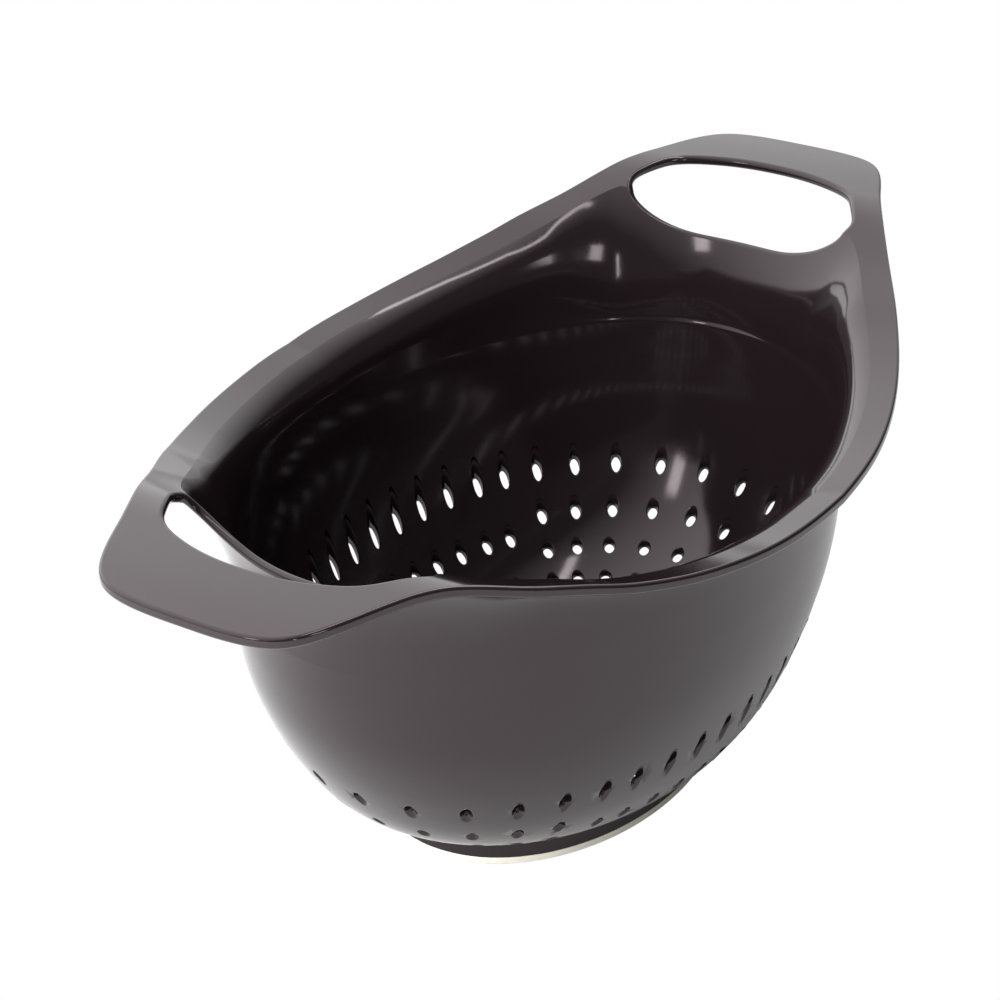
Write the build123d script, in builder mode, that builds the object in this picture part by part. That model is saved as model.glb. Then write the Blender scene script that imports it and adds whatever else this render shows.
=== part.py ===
from build123d import *
import math
import os

# An oval colander: one dark moulding that is bowl, foot skirt, brim and two
# handles, standing on a soft ring pressed onto the foot. X runs along the
# handles, Z is up, and the origin is the middle of the foot on the table.

# Overall sizes, in millimetres
overall_length = 360.0
overall_breadth = 198.0
side_height = 121.8
handle_height = 148.8

# The bowl, measured on its outer face
bowl_half_length = 123.5
bowl_half_breadth = 83.6
wall = 2.8
brim_thickness = 3.4
brim_tilt = 11.5

# The foot skirt and the soft ring under it
foot_half_length = 72.0
foot_half_breadth = 51.7
foot_height = 11.0
foot_wall = 3.0
ring_height = 2.4
ring_breadth = 4.0
tongue_inset = 0.9
tongue_wall = 1.2
tongue_length = 1.4
ring_clearance = 0.1

# The drain holes
hole_radius = 1.75
hole_sides = 8
hole_reach = 56.0

# Where the straight wall hands over to the flare, how finely the flare is
# divided, how far the shapes that trim it reach past it, and the small step
# that reads the slope of the wall
flare_start = 100.0
columns = 32
flare_steps = 4
steps_above = 5
brim_sections = 24
past_top = 12.0
past_edge = 8.0
above_share = 1.4
slope_step_share = 0.004

# Shares of the wall height, half length and half breadth up the outer face
wall_shares = [
    (0.039, 0.357, 0.389),
    (0.056, 0.470, 0.509),
    (0.095, 0.582, 0.632),
    (0.158, 0.675, 0.729),
    (0.250, 0.765, 0.819),
    (0.370, 0.841, 0.889),
    (0.520, 0.908, 0.947),
    (0.740, 0.972, 0.993),
    (1.000, 1.000, 1.000),
]

# Shares of the half length and half breadth along the plan outline, from the
# middle of a handle bar round to the middle of a long side
outline_shares = [
    (1.000, 0.000),
    (0.996, 0.171),
    (0.975, 0.285),
    (0.923, 0.360),
    (0.829, 0.436),
    (0.667, 0.594),
    (0.514, 0.756),
    (0.356, 0.885),
    (0.180, 0.972),
    (0.000, 1.000),
]

# Share of the half length, then shares of the climb from the sides to the
# handles and of the inward tilt of the brim
brim_shares = [
    (0.000, 0.000, 1.00),
    (0.200, 0.056, 1.00),
    (0.356, 0.180, 1.00),
    (0.474, 0.352, 0.90),
    (0.552, 0.522, 0.72),
    (0.630, 0.682, 0.45),
    (0.706, 0.874, 0.18),
    (0.746, 0.956, 0.06),
    (0.787, 0.994, 0.00),
    (0.829, 1.000, 0.00),
    (0.922, 0.993, 0.00),
    (1.000, 0.967, 0.00),
]

# Angle round the oval, then the reach of the flare beyond the wall as a share
# of the reach at the handles, its slope, the share of its depth, and the share
# of the brim's tilt there
flare_reach = 16.2
flare_depth = 33.5
flare_turns = [
    (0.0, 1.00, 50.0, 1.00, 0.00),
    (20.0, 1.00, 50.0, 1.00, 0.05),
    (26.0, 0.97, 50.0, 0.96, 0.30),
    (30.0, 0.81, 48.0, 0.84, 0.45),
    (35.0, 0.64, 42.0, 0.70, 0.65),
    (40.0, 0.54, 35.0, 0.58, 0.80),
    (50.0, 0.47, 26.0, 0.46, 0.95),
    (65.0, 0.46, 21.0, 0.38, 1.00),
    (90.0, 0.49, 20.0, 0.37, 1.00),
]

# Half of a handle opening, from the lip of the bowl round to the bar, as
# shares of the half length and half breadth
opening_shares = [
    (0.7161, 0.000),
    (0.7120, 0.107),
    (0.7020, 0.214),
    (0.6945, 0.303),
    (0.6930, 0.365),
    (0.7000, 0.405),
    (0.7170, 0.415),
    (0.7400, 0.400),
    (0.7700, 0.369),
    (0.7930, 0.342),
    (0.8150, 0.297),
    (0.8330, 0.228),
    (0.8440, 0.165),
    (0.8520, 0.085),
    (0.8544, 0.000),
]

# Angles of the drain hole columns at the ends and along the sides, and for
# each row its height and the share that the angles keep
end_columns = [0.0, 12.0, 23.5, 33.6, 42.6]
side_columns = [50.4, 56.8, 64.0, 70.8, 77.3, 83.7, 90.0]
end_rows = [(44.9, 1.00), (30.8, 0.967), (20.7, 0.925), (13.6, 0.885)]
side_rows = [(44.9, 1.00), (26.0, 0.985), (14.0, 0.97)]
floor_rings = [(0.76, 14), (0.40, 7), (0.0, 1)]

half_length = overall_length / 2
half_breadth = overall_breadth / 2
climb = handle_height - side_height
form_top = handle_height + past_top


def between(stations, place, column):
    """The smooth value of one column of a table at a place along the table."""
    count = len(stations)
    slopes = []
    for i in range(count):
        low = stations[max(i - 1, 0)]
        high = stations[min(i + 1, count - 1)]
        slopes.append((high[column] - low[column]) / (high[0] - low[0]))
    place = min(max(place, stations[0][0]), stations[-1][0])
    i = 0
    while i < count - 2 and place > stations[i + 1][0]:
        i += 1
    span = stations[i + 1][0] - stations[i][0]
    u = (place - stations[i][0]) / span
    start = stations[i][column]
    finish = stations[i + 1][column]
    rise = finish - start
    bend_in = slopes[i] * span - rise
    bend_out = rise - slopes[i + 1] * span
    return start + u * rise + u * (1 - u) * ((1 - u) * bend_in + u * bend_out)


def side_edge(x):
    """Half breadth of the plan outline at a place along the length."""
    by_length = sorted(outline_shares[2:])
    return half_breadth * between(by_length, abs(x) / half_length, 1)


def brim_height(x, y):
    """Height of the top of the brim over a place in the plan."""
    along = abs(x) / half_length
    edge = side_height + climb * between(brim_shares, along, 1)
    tilt = math.tan(math.radians(brim_tilt)) * between(brim_shares, along, 2)
    return edge - tilt * (side_edge(x) - abs(y))


def wall_section(share, inset):
    """Height and half sizes of one oval of the wall, moved in from its outer face."""
    step = slope_step_share
    spread = between(wall_shares, share + step, 1) - between(wall_shares, share, 1)
    slope = bowl_half_length * spread / (step * flare_start)
    steepness = math.hypot(1, slope)
    reach = bowl_half_length * between(wall_shares, share, 1) - inset / steepness
    breadth = bowl_half_breadth * between(wall_shares, share, 2) - inset / steepness
    return share * flare_start + inset * slope / steepness, reach, breadth


def quarter_angle(turn):
    """Angle from the nearer end of the long axis, in degrees from 0 to 90."""
    return math.degrees(math.atan2(abs(math.sin(turn)), abs(math.cos(turn))))


def flare_path(turn, inset):
    """Points up one column of the flare and on past the brim."""
    angle = quarter_angle(turn)
    reach = flare_reach * between(flare_turns, angle, 1)
    slope = math.tan(math.radians(between(flare_turns, angle, 2)))
    depth = flare_depth * between(flare_turns, angle, 3)
    start = Vector((bowl_half_length - inset) * math.cos(turn), (bowl_half_breadth - inset) * math.sin(turn))
    facing = Vector(bowl_half_breadth * math.cos(turn), bowl_half_length * math.sin(turn)).normalized()
    drop = 0.0
    if inset > 0:
        reach += wall / 2
    else:
        tilt = math.tan(math.radians(brim_tilt)) * between(flare_turns, angle, 4)
        reach += (wall * math.hypot(1, slope) - brim_thickness) / (slope - tilt) - wall / 2
        drop = brim_thickness
    crease = start + facing * reach
    level = brim_height(crease.X, crease.Y) - drop
    points = []
    for i in range(flare_steps + 1):
        u = i / flare_steps
        below = (1 - u) ** 2 * depth + 2 * u * (1 - u) * reach * slope
        spot = start + facing * (u * u * reach)
        points.append(Vector(spot.X, spot.Y, level - below))
    for i in range(1, steps_above + 1):
        u = (i / steps_above) ** above_share
        away = reach + past_edge * (2 * u * (1 - u) + above_share * u * u)
        above = 2 * u * (1 - u) * past_edge * slope + u * u * (form_top - level)
        spot = start + facing * away
        points.append(Vector(spot.X, spot.Y, level + above))
    return points


def bowl_form(inset):
    """Solid inside one face of the bowl, from its floor up past the brim."""
    turns = [2 * math.pi * j / columns for j in range(columns)]
    loops = []
    for station in wall_shares:
        height, reach, breadth = wall_section(station[0], inset)
        loops.append([Vector(reach * math.cos(t), breadth * math.sin(t), height) for t in turns])
    loops += zip(*[flare_path(t, inset) for t in turns])
    shares = [j / columns for j in range(columns + 1)]
    curves = [Edge.make_spline(list(loop), periodic=True, parameters=shares) for loop in loops]
    return Solid.make_loft([Wire([curve]) for curve in curves])


def brim_profile(x, thickness):
    """Half cross-section of a sheet under the top of the brim at one place."""
    reach = half_breadth + past_edge
    edge = brim_height(x, reach)
    middle = brim_height(x, 0)
    return [(0, middle), (reach, edge), (reach, edge - thickness), (0, middle - thickness)]


section_places = [
    (half_length + past_edge) * (2 * i / brim_sections - 1) for i in range(brim_sections + 1)
]

# The brim sheet, a thin bridge that climbs from the sides to both handles
with BuildPart() as brim_sheet:
    for x in section_places:
        with BuildSketch(Plane.YZ.offset(x)):
            Polygon(*brim_profile(x, brim_thickness), align=None)
    loft()
    mirror(about=Plane.XZ)

# Everything below the top of the brim
with BuildPart() as below_brim:
    for x in section_places:
        with BuildSketch(Plane.YZ.offset(x)):
            Polygon(*brim_profile(x, handle_height + past_edge), align=None)
    loft()
    mirror(about=Plane.XZ)


def outline_points():
    """Points right round the plan outline, from one measured quarter of it."""
    quarter = [(a * half_length, b * half_breadth) for a, b in outline_shares]
    half = quarter + [(-x, y) for x, y in reversed(quarter[:-1])]
    return half + [(x, -y) for x, y in reversed(half[1:-1])]


def opening_points():
    """Points right round the handle opening at the +X end."""
    half = [(a * half_length, b * half_breadth) for a, b in opening_shares]
    return half + [(x, -y) for x, y in reversed(half[1:-1])]


def hole_places():
    """Plan positions of the drain holes, set out on the outer face of the bowl."""
    places = []
    for angles, rows in ((end_columns, end_rows), (side_columns, side_rows)):
        for height, kept in rows:
            share = height / flare_start
            reach = bowl_half_length * between(wall_shares, share, 1)
            breadth = bowl_half_breadth * between(wall_shares, share, 2)
            for angle in angles:
                turn = math.radians(angle * kept)
                if angle == side_columns[-1]:
                    turn = math.pi / 2
                x = reach * math.cos(turn)
                y = breadth * math.sin(turn)
                signs_x = (1,) if angle == side_columns[-1] else (1, -1)
                signs_y = (1,) if angle == end_columns[0] else (1, -1)
                places += [(a * x, b * y) for a in signs_x for b in signs_y]
    for share, count in floor_rings:
        for i in range(count):
            turn = 2 * math.pi * i / count
            x = share * foot_half_length * math.cos(turn)
            places.append((x, share * foot_half_breadth * math.sin(turn)))
    return places


outer_form = bowl_form(0)
hollow_form = bowl_form(wall)

# The one moulding: the outer form trimmed under the brim, the brim sheet cut to
# its plan, the foot skirt with the tongue that holds the ring, then the hollow,
# the two handle openings and the drain holes
with BuildPart() as bowl:
    add(outer_form)
    add(below_brim.part, mode=Mode.INTERSECT)
    add(brim_sheet.part)
    with BuildSketch():
        with BuildLine():
            Spline(*outline_points(), periodic=True)
        make_face()
    extrude(amount=form_top, mode=Mode.INTERSECT)
    with BuildSketch(Plane.XY.offset(ring_height)):
        Ellipse(foot_half_length, foot_half_breadth)
        Ellipse(foot_half_length - foot_wall, foot_half_breadth - foot_wall, mode=Mode.SUBTRACT)
    extrude(amount=foot_height - ring_height)
    with BuildSketch(Plane.XY.offset(ring_height - tongue_length)):
        Ellipse(foot_half_length - tongue_inset, foot_half_breadth - tongue_inset)
        inner = tongue_inset + tongue_wall
        Ellipse(foot_half_length - inner, foot_half_breadth - inner, mode=Mode.SUBTRACT)
    extrude(amount=tongue_length)
    add(hollow_form, mode=Mode.SUBTRACT)
    with BuildSketch():
        with BuildLine():
            Spline(*opening_points(), periodic=True)
        make_face()
        mirror(about=Plane.YZ)
    extrude(amount=form_top, mode=Mode.SUBTRACT)
    with BuildSketch():
        with Locations(*hole_places()):
            RegularPolygon(hole_radius, hole_sides, major_radius=False)
    extrude(amount=hole_reach, mode=Mode.SUBTRACT)
bowl.part.label = "bowl"

# The soft ring, with the groove that takes the tongue of the foot skirt
with BuildPart() as non_slip_ring:
    with BuildSketch():
        Ellipse(foot_half_length, foot_half_breadth)
        Ellipse(foot_half_length - ring_breadth, foot_half_breadth - ring_breadth, mode=Mode.SUBTRACT)
    extrude(amount=ring_height)
    with BuildSketch(Plane.XY.offset(ring_height)):
        outer = tongue_inset - ring_clearance
        inner = tongue_inset + tongue_wall + ring_clearance
        Ellipse(foot_half_length - outer, foot_half_breadth - outer)
        Ellipse(foot_half_length - inner, foot_half_breadth - inner, mode=Mode.SUBTRACT)
    extrude(amount=-(tongue_length + ring_clearance), mode=Mode.SUBTRACT)
non_slip_ring.part.label = "non_slip_ring"

os.makedirs("parts", exist_ok=True)
export_step(bowl.part, "parts/bowl.step")
export_step(non_slip_ring.part, "parts/non_slip_ring.step")
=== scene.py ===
"""Looks of the oval colander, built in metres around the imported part."""

import logging
import math
from dataclasses import dataclass
from enum import Enum
from functools import partial
from typing import Callable, Optional, Sequence, Union

import bpy
import numpy as np
from mathutils import Matrix, Vector
from mathutils.geometry import delaunay_2d_cdt


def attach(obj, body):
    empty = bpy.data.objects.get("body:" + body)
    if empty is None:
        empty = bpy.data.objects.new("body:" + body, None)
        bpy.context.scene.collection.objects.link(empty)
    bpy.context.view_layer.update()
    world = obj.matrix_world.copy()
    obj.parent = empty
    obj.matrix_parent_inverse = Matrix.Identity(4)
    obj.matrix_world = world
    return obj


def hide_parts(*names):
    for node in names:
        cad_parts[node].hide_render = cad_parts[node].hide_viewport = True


logging.basicConfig(level=logging.INFO, format="%(message)s")
log = logging.getLogger("colander")

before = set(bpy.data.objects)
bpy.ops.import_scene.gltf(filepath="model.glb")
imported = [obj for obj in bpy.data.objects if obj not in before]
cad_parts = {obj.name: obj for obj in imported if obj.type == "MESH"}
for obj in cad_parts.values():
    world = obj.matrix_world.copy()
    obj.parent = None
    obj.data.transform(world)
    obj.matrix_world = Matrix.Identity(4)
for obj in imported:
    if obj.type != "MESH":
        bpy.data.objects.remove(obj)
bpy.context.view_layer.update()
MM = 0.001

# Shares of the wall height, half length and half breadth up the outer face
WALL = np.array([
    (0.039, 0.357, 0.389), (0.051, 0.446, 0.482), (0.076, 0.538, 0.585),
    (0.110, 0.608, 0.659), (0.158, 0.675, 0.729), (0.230, 0.748, 0.802),
    (0.320, 0.813, 0.864), (0.430, 0.869, 0.914), (0.560, 0.922, 0.958),
    (0.700, 0.963, 0.988), (0.850, 0.987, 1.000), (1.000, 1.000, 1.000),
])
# A quarter of the plan outline, as shares of the half length and half breadth
OUTLINE = [
    (1.000, 0.000), (0.996, 0.171), (0.975, 0.285), (0.923, 0.360), (0.829, 0.436),
    (0.667, 0.594), (0.514, 0.756), (0.356, 0.885), (0.180, 0.972), (0.000, 1.000),
]
# Share of the half length, of the climb to the handles and of the brim's tilt
BRIM = np.array([
    (0.000, 0.000, 1.00), (0.200, 0.056, 1.00), (0.356, 0.180, 1.00), (0.474, 0.352, 0.90),
    (0.552, 0.522, 0.72), (0.630, 0.682, 0.45), (0.706, 0.874, 0.18), (0.746, 0.956, 0.06),
    (0.787, 0.994, 0.00), (0.829, 1.000, 0.00), (0.922, 0.993, 0.00), (1.000, 0.967, 0.00),
])
# Angle round the oval, then the flare's share of reach, slope, share of depth
# and share of the brim's tilt
FLARE = np.array([
    (0.0, 1.00, 50.0, 1.34, 0.00), (14.0, 1.00, 50.0, 1.33, 0.03), (20.0, 0.985, 50.0, 1.30, 0.10),
    (26.0, 0.93, 49.0, 1.20, 0.28), (30.0, 0.83, 47.0, 1.06, 0.45), (35.0, 0.67, 42.0, 0.86, 0.65),
    (40.0, 0.55, 35.0, 0.69, 0.80), (50.0, 0.47, 26.0, 0.51, 0.95), (65.0, 0.46, 21.0, 0.40, 1.00),
    (90.0, 0.49, 20.0, 0.38, 1.00),
])
# Half of a handle opening, from the lip of the bowl round to the bar
OPENING = [
    (0.7161, 0.000), (0.7120, 0.107), (0.7020, 0.214), (0.6945, 0.303), (0.6930, 0.365),
    (0.7000, 0.405), (0.7170, 0.415), (0.7400, 0.400), (0.7700, 0.369), (0.7930, 0.342),
    (0.8150, 0.297), (0.8330, 0.228), (0.8440, 0.165), (0.8520, 0.085), (0.8544, 0.000),
]
# Drain holes: column angles, then height and kept share of angle for each row
END_COLUMNS = (0.0, 12.0, 23.5, 33.6, 42.6)
SIDE_COLUMNS = (50.4, 56.8, 64.0, 70.8, 77.3, 83.7, 90.0)
END_ROWS = ((44.9, 1.00), (30.8, 0.967), (20.7, 0.925), (13.6, 0.885))
SIDE_ROWS = ((44.9, 1.00), (26.0, 0.985), (14.0, 0.97))
# Rings of drain holes in the floor: share of the foot's size, and count
FLOOR_RINGS = ((0.76, 14), (0.40, 7), (0.0, 1))

# Steps of the two searches, and the highest share of the wall looked through
NEWTON_STEPS = 12
HALVINGS = 34
SEARCH_TOP = 0.9
# Millimetres between a face's two readings when its slope is taken
FACE_STEP = 0.02
# Points that agree to a ten-thousandth of a millimetre are one
JOINS_PER_MM = 1e4
# Points handled together when gaps are measured
BLOCK = 500

Surface = Callable[[np.ndarray, np.ndarray], np.ndarray]
Choice = Callable[[np.ndarray], np.ndarray]


@dataclass(frozen=True)
class BowlSizes:
    """Sizes of the moulding in millimetres, its tilt in degrees, and shares where the name says so."""
    half_length: float = 180.0
    half_breadth: float = 99.0
    side_height: float = 121.8
    handle_height: float = 148.8
    bowl_half_length: float = 123.5
    bowl_half_breadth: float = 83.6
    flare_start: float = 100.0
    wall: float = 2.8
    wall_low: float = 1.9
    thin_share: float = 0.5
    thin_span_share: float = 0.45
    brim_thickness: float = 3.4
    brim_tilt: float = 11.5
    flare_reach: float = 16.2
    flare_depth: float = 33.5
    foot_half_length: float = 72.0
    foot_half_breadth: float = 51.7
    foot_wall: float = 3.0
    foot_bevel: float = 0.3
    ring_height: float = 2.4
    hole_radius: float = 1.85
    hole_mouth: float = 0.5
    hole_exit: float = 0.2
    edge_round: float = 1.1
    edge_back: float = 1.5
    nose_share: float = 0.47
    pull_share: float = 0.64


@dataclass(frozen=True)
class MeshSteps:
    """How finely the surfaces are divided; gaps between points in millimetres, angles in degrees."""
    columns: int = 320
    outline: int = 560
    opening: int = 200
    hole_sides: int = 24
    wall_rows: int = 22
    low_share: float = 0.62
    split_low: float = 0.40
    split_high: float = 0.95
    split_angle: float = 30.0
    split_span: float = 12.0
    flare_rows: int = 14
    flare_marks: tuple[float, ...] = (0.48, 0.56, 0.64, 0.72, 0.80, 0.87, 0.94)
    mark_margin: float = 0.04
    arc_rows: int = 5
    row_step: float = 1e-4
    rise_step: float = 0.3
    rise_spread: int = 3
    plan_step: float = 3.0
    fewest_round: int = 8
    low_gap: float = 1.1
    hole_gap: float = 0.5
    hole_share: float = 0.98
    edge_gap: float = 1.0
    crease_gap: float = 0.8
    join_gap: float = 1e-5


def between(table: np.ndarray, place: np.ndarray, column: int) -> np.ndarray:
    """Smooth values of a table's column.

    Args:
        table: rows sorted by their first number.
        place: where along the first number to read.
        column: which column to read.
    Returns:
        The value at each place.
    """
    xs, ys = table[:, 0], table[:, column]
    last = len(xs) - 1
    idx = np.arange(last + 1)
    low, high = np.maximum(idx - 1, 0), np.minimum(idx + 1, last)
    slopes = (ys[high] - ys[low]) / (xs[high] - xs[low])
    place = np.clip(np.asarray(place, float), xs[0], xs[-1])
    i = np.clip(np.searchsorted(xs, place, side="left") - 1, 0, last - 1)
    span = xs[i + 1] - xs[i]
    u = (place - xs[i]) / span
    rise = ys[i + 1] - ys[i]
    bend_in = slopes[i] * span - rise
    bend_out = rise - slopes[i + 1] * span
    return ys[i] + u * rise + u * (1 - u) * ((1 - u) * bend_in + u * bend_out)


def ease(value: np.ndarray, start: float, span: float) -> np.ndarray:
    """A smooth step from 0 to 1.

    Args:
        value: where to read it.
        start: where the step begins.
        span: how far on it ends.
    Returns:
        A share from 0 to 1 for each value.
    """
    u = np.clip((value - start) / span, 0.0, 1.0)
    return u * u * (3 - 2 * u)


def round_angle(turn: np.ndarray) -> np.ndarray:
    """Angle from the nearer handle in degrees, from 0 to 90."""
    return np.degrees(np.arctan2(np.abs(np.sin(turn)), np.abs(np.cos(turn))))


def unit(vectors: np.ndarray) -> np.ndarray:
    """The vectors along the last axis, one long."""
    return vectors / np.linalg.norm(vectors, axis=-1)[..., None]


def closed_curve(points: Sequence[tuple], count: int, pieces: int = 80) -> np.ndarray:
    """Evenly spaced points on a smooth closed curve.

    Args:
        points: places in the plan that the curve goes through.
        count: how many points to return.
        pieces: short chords between two given points, for measuring its length.
    Returns:
        The points in the plan.
    """
    p = np.array(points, float)
    n = len(p)
    h = np.linalg.norm(np.roll(p, -1, 0) - p, axis=1)
    matrix = np.zeros((n, n))
    rhs = np.zeros((n, 2))
    for i in range(n):
        before, after = (i - 1) % n, (i + 1) % n
        matrix[i, before] += h[before]
        matrix[i, i] += 2 * (h[before] + h[i])
        matrix[i, after] += h[i]
        rhs[i] = 6 * ((p[after] - p[i]) / h[i] - (p[i] - p[before]) / h[before])
    bend = np.linalg.solve(matrix, rhs)
    dense = []
    u = np.linspace(0, 1, pieces, endpoint=False)[:, None]
    for i in range(n):
        after = (i + 1) % n
        dense.append((1 - u) * p[i] + u * p[after] + h[i] ** 2 / 6 * (
            ((1 - u) ** 3 - (1 - u)) * bend[i] + (u ** 3 - u) * bend[after]))
    dense = np.vstack(dense)
    loop = np.vstack([dense, dense[:1]])
    way = np.concatenate([[0], np.cumsum(np.linalg.norm(np.diff(loop, axis=0), axis=1))])
    at = np.linspace(0, way[-1], count, endpoint=False)
    return np.stack([np.interp(at, way, loop[:, k]) for k in (0, 1)], 1)


def outward(loop: np.ndarray) -> np.ndarray:
    """Unit normals in the plan, pointing out of a loop that runs anticlockwise."""
    along = unit(np.roll(loop, -1, 0) - np.roll(loop, 1, 0))
    return np.stack([along[:, 1], -along[:, 0]], 1)


def inside_loop(points: np.ndarray, loop: np.ndarray) -> np.ndarray:
    """Finds the points that lie inside a closed loop in the plan.

    Args:
        points: places, with any further columns left unread.
        loop: the loop's points in order.
    Returns:
        True for each point inside.
    """
    x, y = points[:, 0][:, None], points[:, 1][:, None]
    ax, ay = loop[:, 0], loop[:, 1]
    bx, by = np.roll(ax, -1), np.roll(ay, -1)
    cross = (ay > y) != (by > y)
    with np.errstate(divide="ignore", invalid="ignore"):
        at = (bx - ax) * (y - ay) / (by - ay) + ax
    return (np.sum(cross & (x < at), axis=1) % 2) == 1


def apart(points: np.ndarray, others: np.ndarray, gap: float) -> np.ndarray:
    """Finds the plan points that keep a gap from all the others.

    Args:
        points: places to test.
        others: places to keep away from.
        gap: the least distance.
    Returns:
        True for each point that is far enough away.
    """
    keep = np.ones(len(points), bool)
    for block in range(0, len(points), BLOCK):
        p = points[block:block + BLOCK, :2]
        d = np.linalg.norm(p[:, None] - others[None, :, :2], axis=2).min(1)
        keep[block:block + BLOCK] = d > gap
    return keep


def smooth_round(values: np.ndarray, spread: int) -> np.ndarray:
    """Evens out values along a closed loop.

    Args:
        values: one for each point of the loop.
        spread: how many neighbours weigh in strongly.
    Returns:
        The evened values.
    """
    reach = np.arange(-3 * spread, 3 * spread + 1)
    weights = np.exp(-0.5 * (reach / spread) ** 2)
    weights /= weights.sum()
    return sum(w * np.roll(values, k) for k, w in zip(reach, weights))


def plan_normals(height: Surface, x: np.ndarray, y: np.ndarray, up: float) -> np.ndarray:
    """Normals of a surface that stands over the plan.

    Args:
        height: gives the surface's height over places in the plan.
        x: first coordinate of each place.
        y: second coordinate of each place.
        up: 1 for normals that point up, -1 for down.
    Returns:
        A unit normal for each place.
    """
    e = FACE_STEP
    gx = (height(x + e, y) - height(x - e, y)) / (2 * e)
    gy = (height(x, y + e) - height(x, y - e)) / (2 * e)
    return up * unit(np.stack([-gx, -gy, np.ones_like(gx)], -1))


class Form:
    """Heights and faces of the moulding, worked out from its sizes.

    An inset of 0 means the outer or lower face, and the wall's thickness the other one.
    """

    def __init__(self, size: BowlSizes) -> None:
        """Lays out the plan outline and one handle opening from their quarters."""
        self.size = size
        quarter = [(a * size.half_length, b * size.half_breadth) for a, b in OUTLINE]
        half = quarter + [(-x, y) for x, y in reversed(quarter[:-1])]
        self.outline_points = half + [(x, -y) for x, y in reversed(half[1:-1])]
        side = [(a * size.half_length, b * size.half_breadth) for a, b in OPENING]
        self.opening_points = (side + [(x, -y) for x, y in reversed(side[1:-1])])[::-1]
        self.edge_table = np.array(sorted(OUTLINE[2:]))

    def brim(self, x: np.ndarray, y: np.ndarray) -> np.ndarray:
        """Height of the brim's top.

        Args:
            x: place along the handles.
            y: place across them.
        Returns:
            The height over each place.
        """
        s = self.size
        along = np.abs(x) / s.half_length
        edge = s.side_height + (s.handle_height - s.side_height) * between(BRIM, along, 1)
        tilt = math.tan(math.radians(s.brim_tilt)) * between(BRIM, along, 2)
        reach = s.half_breadth * between(self.edge_table, along, 1)
        return edge - tilt * (reach - np.abs(y))

    def oval(self, share: float, inset: float) -> tuple[float, float, float]:
        """One oval of the wall, which is thinner towards the floor.

        Args:
            share: how far up the wall, from 0 to 1.
            inset: which face.
        Returns:
            Its height, half length and half breadth.
        """
        s = self.size
        if inset > 0:
            inset = s.wall_low + (s.wall - s.wall_low) * ease(share, s.thin_share, s.thin_span_share)
        step = WALL[0][0] / 10
        spread = between(WALL, share + step, 1) - between(WALL, share, 1)
        slope = s.bowl_half_length * spread / (step * s.flare_start)
        steep = np.hypot(1, slope)
        reach = s.bowl_half_length * between(WALL, share, 1) - inset / steep
        breadth = s.bowl_half_breadth * between(WALL, share, 2) - inset / steep
        return share * s.flare_start + inset * slope / steep, reach, breadth

    def column(self, turn: np.ndarray, inset: float) -> tuple[np.ndarray, ...]:
        """The flare's columns, each from the top of the wall out to the crease.

        Args:
            turn: where round the oval, in radians.
            inset: which face.
        Returns:
            Their start, facing, reach, slope, depth and level at the crease.
        """
        s = self.size
        angle = round_angle(turn)
        reach = s.flare_reach * between(FLARE, angle, 1)
        slope = np.tan(np.radians(between(FLARE, angle, 2)))
        depth = s.flare_depth * between(FLARE, angle, 3)
        start = np.stack([(s.bowl_half_length - inset) * np.cos(turn),
                          (s.bowl_half_breadth - inset) * np.sin(turn)], -1)
        facing = unit(np.stack([s.bowl_half_breadth * np.cos(turn),
                                s.bowl_half_length * np.sin(turn)], -1))
        drop = 0.0
        if inset > 0:
            reach = reach + s.wall / 2
        else:
            tilt = math.tan(math.radians(s.brim_tilt)) * between(FLARE, angle, 4)
            reach = reach + (s.wall * np.hypot(1, slope) - s.brim_thickness) / (slope - tilt) - s.wall / 2
            drop = s.brim_thickness
        crease = start + facing * reach[..., None]
        level = self.brim(crease[..., 0], crease[..., 1]) - drop
        return start, facing, reach, slope, depth, level

    def flare_row(self, turn: np.ndarray, u: Union[float, np.ndarray], inset: float) -> np.ndarray:
        """One loop of the flare.

        Args:
            turn: where round the oval, in radians.
            u: how far out, from 0 at the flare's foot to 1 at the brim.
            inset: which face.
        Returns:
            A point for each turn.
        """
        start, facing, reach, slope, depth, level = self.column(turn, inset)
        plan = start + facing * (u * u * reach)[:, None]
        z = level - ((1 - u) ** 2 * depth + 2 * u * (1 - u) * reach * slope)
        return np.column_stack([plan, z])

    def flare_place(self, x: np.ndarray, y: np.ndarray, inset: float) -> tuple[np.ndarray, ...]:
        """Finds the column that each plan point stands on.

        Args:
            x: place along the handles.
            y: place across them.
            inset: which face.
        Returns:
            The column's turn, and how far out along it the point is.
        """
        s = self.size
        a, b = s.bowl_half_length - inset, s.bowl_half_breadth - inset
        turn = np.arctan2(y * a, x * b)
        for _ in range(NEWTON_STEPS):
            sn, cs = np.sin(turn), np.cos(turn)
            f = (a * a - b * b) * sn * cs - x * a * sn + y * b * cs
            d = (a * a - b * b) * (cs * cs - sn * sn) - x * a * cs - y * b * sn
            turn = turn - f / d
        out = (x - a * np.cos(turn)) * b * np.cos(turn) + (y - b * np.sin(turn)) * a * np.sin(turn)
        return turn, out / np.hypot(b * np.cos(turn), a * np.sin(turn))

    def flare(self, x: np.ndarray, y: np.ndarray, inset: float) -> tuple[np.ndarray, np.ndarray]:
        """The flare over places in the plan.

        Args:
            x: place along the handles.
            y: place across them.
            inset: which face.
        Returns:
            Its height, and whether the place is inside the crease.
        """
        turn, out = self.flare_place(x, y, inset)
        _, _, reach, slope, depth, level = self.column(turn, inset)
        u = np.sqrt(np.maximum(out, 1e-9) / reach)
        z = level - ((1 - u) ** 2 * depth + 2 * u * (1 - u) * reach * slope)
        return z, out < reach

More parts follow.
